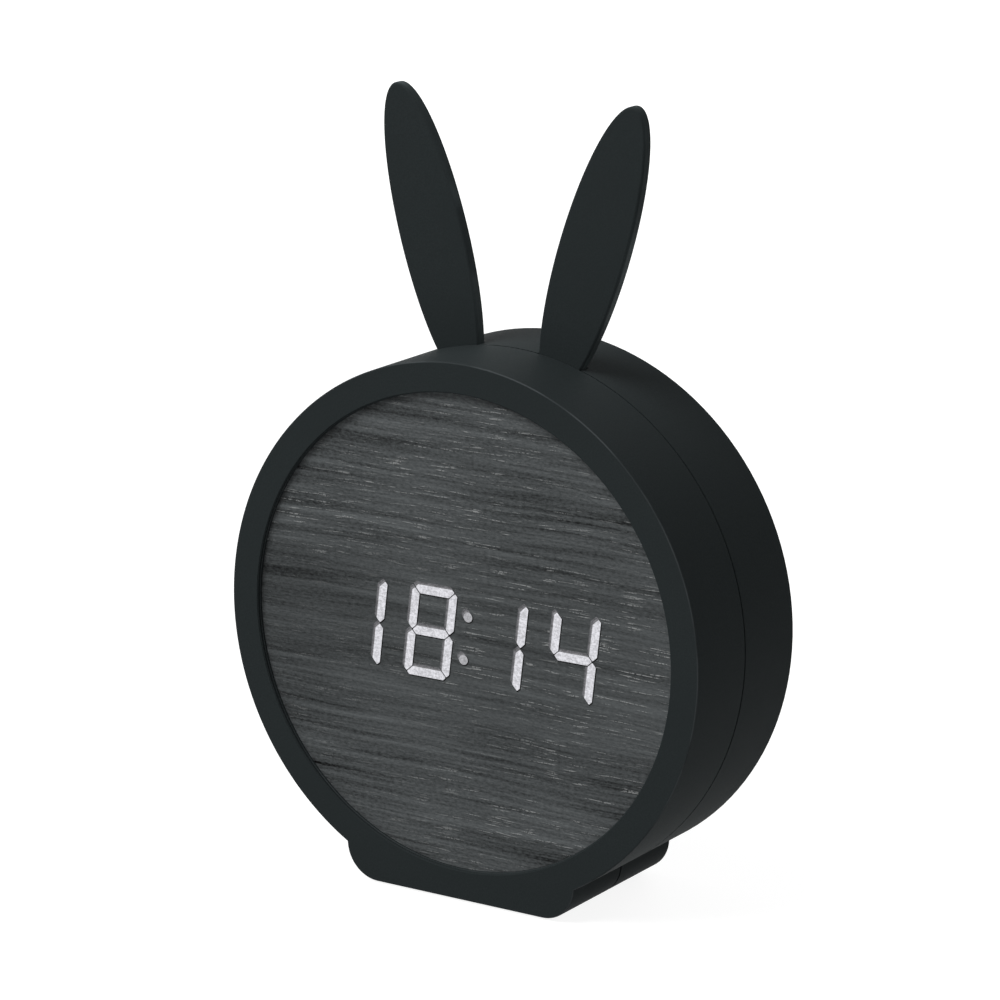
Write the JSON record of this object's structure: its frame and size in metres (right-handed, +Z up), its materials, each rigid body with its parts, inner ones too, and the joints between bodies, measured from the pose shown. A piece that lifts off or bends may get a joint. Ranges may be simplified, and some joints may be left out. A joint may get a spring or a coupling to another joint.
{
  "type": "digital alarm clock",
  "caption": "Round drum desk clock with flat rabbit ears, a sunken wood face, lit seven-segment time, rear buttons and a battery bay.",
  "frame": {"origin": "on the table, under the middle of the drum's depth", "axes": "+Z up, the face looks along -Y, +X to the viewer's right when facing the display"},
  "size_m": [0.12, 0.04, 0.1751],
  "materials": {
    "housing_plastic": "fine matt texture, charcoal",
    "ear_plastic": "fine matt texture, charcoal",
    "face_wood": "thin grey-black stained veneer, open grain",
    "adhesive_sheet": "black double-sided sheet",
    "reflector_plastic": "moulded black",
    "lit_lens": "milky cast resin, lit",
    "colon_lens": "milky cast resin, dimly lit",
    "unlit_lens": "smoked cast resin, unlit",
    "led_chip": "white package with yellow phosphor",
    "board_laminate": "green solder mask",
    "chip_plastic": "moulded black",
    "connector_plastic": "natural white",
    "ribbon_plastic": "grey insulation",
    "plated_steel": "bright nickel plate",
    "screw_steel": "zinc plate",
    "capacitor_can": "sleeved can",
    "sensor_bead": "dipped bead",
    "switch_plastic": "moulded black",
    "plunger_plastic": "ivory",
    "button_plastic": "satin black",
    "cell_wrapper": "plain printed sleeve on a steel can",
    "red_lead": "red insulation",
    "black_lead": "black insulation",
    "strip_rubber": "matt black foam rubber"
  },
  "bodies": {
    "housing": {"front_housing": "housing_plastic", "rear_cover": "housing_plastic", "left_ear": "ear_plastic", "right_ear": "ear_plastic", "ear_screws": "screw_steel", "face_veneer": "face_wood", "face_adhesive": "adhesive_sheet", "display_reflector": "reflector_plastic", "hours_tens_segments": "lit_lens", "hours_units_segments": "lit_lens", "colon_dots": "colon_lens", "minutes_tens_segments": "lit_lens", "minutes_units_segments": "lit_lens", "unlit_segments": "unlit_lens", "segment_leds": "led_chip", "display_board": "board_laminate", "driver_chip": "chip_plastic", "display_screws": "screw_steel", "ribbon_cable": "ribbon_plastic", "ribbon_connectors": "connector_plastic", "main_board": "board_laminate", "main_board_screws": "screw_steel", "controller_chip": "chip_plastic", "watch_crystal": "plated_steel", "smoothing_capacitor": "capacitor_can", "chip_resistors": "chip_plastic", "buzzer": "switch_plastic", "microphone": "plated_steel", "temperature_sensor": "sensor_bead", "power_socket": "plated_steel", "socket_tongue": "switch_plastic", "switch_bodies": "switch_plastic", "lower_cell": "cell_wrapper", "middle_cell": "cell_wrapper", "upper_cell": "cell_wrapper", "battery_springs": "plated_steel", "battery_contacts": "plated_steel", "battery_lead_red": "red_lead", "battery_lead_black": "black_lead", "housing_screws": "screw_steel", "rubber_strips": "strip_rubber"},
    "set_key": {"set_button": "button_plastic", "set_plunger": "plunger_plastic"},
    "up_key": {"up_button": "button_plastic", "up_plunger": "plunger_plastic"},
    "down_key": {"down_button": "button_plastic", "down_plunger": "plunger_plastic"},
    "door": {"battery_door": "housing_plastic"}
  },
  "joints": [
    {"name": "set_press", "type": "slide", "parent": "housing", "child": "set_key", "axis": [0, -1, 0], "range_m": [0, 0.0004], "stiffness_N_per_m": 2500, "springref_m": -0.0001},
    {"name": "up_press", "type": "slide", "parent": "housing", "child": "up_key", "axis": [0, -1, 0], "range_m": [0, 0.0004], "stiffness_N_per_m": 2500, "springref_m": -0.0001},
    {"name": "down_press", "type": "slide", "parent": "housing", "child": "down_key", "axis": [0, -1, 0], "range_m": [0, 0.0004], "stiffness_N_per_m": 2500, "springref_m": -0.0001},
    {"name": "door_swing", "type": "hinge", "parent": "housing", "child": "door", "pos_m": [0, 0.02, 0.017], "axis": [-1, 0, 0], "range_deg": [0, 80]}
  ]
}
